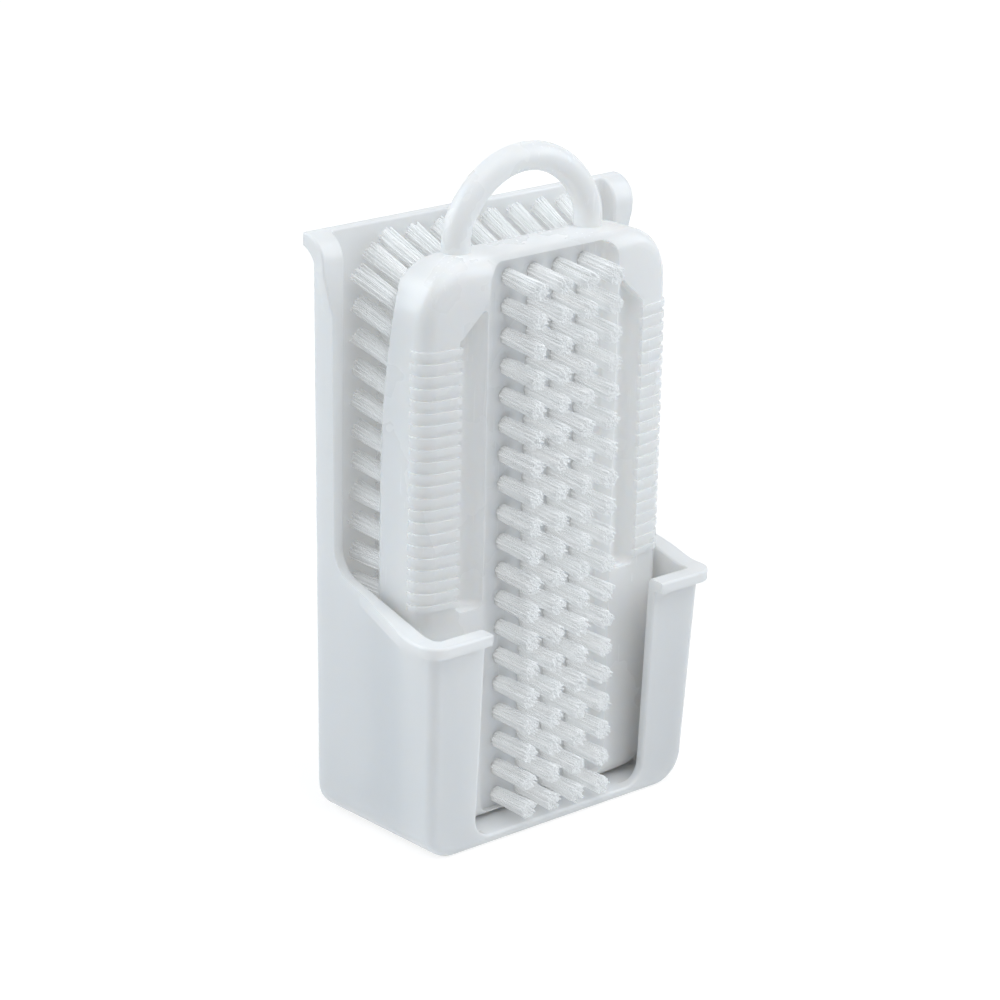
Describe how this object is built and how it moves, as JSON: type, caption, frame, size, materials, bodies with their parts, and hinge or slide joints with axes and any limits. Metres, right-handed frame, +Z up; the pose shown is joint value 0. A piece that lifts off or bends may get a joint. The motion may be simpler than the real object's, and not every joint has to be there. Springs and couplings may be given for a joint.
{
  "type": "nail brush",
  "caption": "Two-sided nail brush with a loop handle, ribbed grip sides and tufts set front and back, standing in an open-fronted holder with a raised back plate.",
  "frame": {"origin": "bottom centre of the bounding box, on the surface the holder stands on", "axes": "+Z up, the holder's open front and the front tufts face -Y, +X to the right of a viewer who looks at the front"},
  "size_m": [0.0834, 0.0378, 0.1381],
  "materials": {
    "holder_plastic": "gloss",
    "brush_plastic": "gloss",
    "bristle": "translucent nylon",
    "anchor_steel": "drawn wire"
  },
  "bodies": {
    "holder": {"holder": "holder_plastic"},
    "brush": {"brush_body": "brush_plastic", "front_tufts_column_1": "bristle", "front_tufts_column_2": "bristle", "front_tufts_column_3": "bristle", "front_tufts_column_4": "bristle", "rear_tufts_column_1": "bristle", "rear_tufts_column_2": "bristle", "rear_tufts_column_3": "bristle", "rear_tufts_column_4": "bristle", "rear_tufts_column_5": "bristle", "rear_tufts_column_6": "bristle", "rear_tufts_column_7": "bristle", "rear_tufts_column_8": "bristle", "rear_tufts_column_9": "bristle", "rear_tufts_column_10": "bristle", "front_anchors_column_1": "anchor_steel", "front_anchors_column_2": "anchor_steel", "front_anchors_column_3": "anchor_steel", "front_anchors_column_4": "anchor_steel", "rear_anchors_column_1": "anchor_steel", "rear_anchors_column_2": "anchor_steel", "rear_anchors_column_3": "anchor_steel", "rear_anchors_column_4": "anchor_steel", "rear_anchors_column_5": "anchor_steel", "rear_anchors_column_6": "anchor_steel", "rear_anchors_column_7": "anchor_steel", "rear_anchors_column_8": "anchor_steel", "rear_anchors_column_9": "anchor_steel", "rear_anchors_column_10": "anchor_steel"}
  },
  "joints": [
    {"name": "brush_lift", "type": "slide", "parent": "holder", "child": "brush", "axis": [0, 0, 1], "range_m": [0, 0.125]}
  ]
}
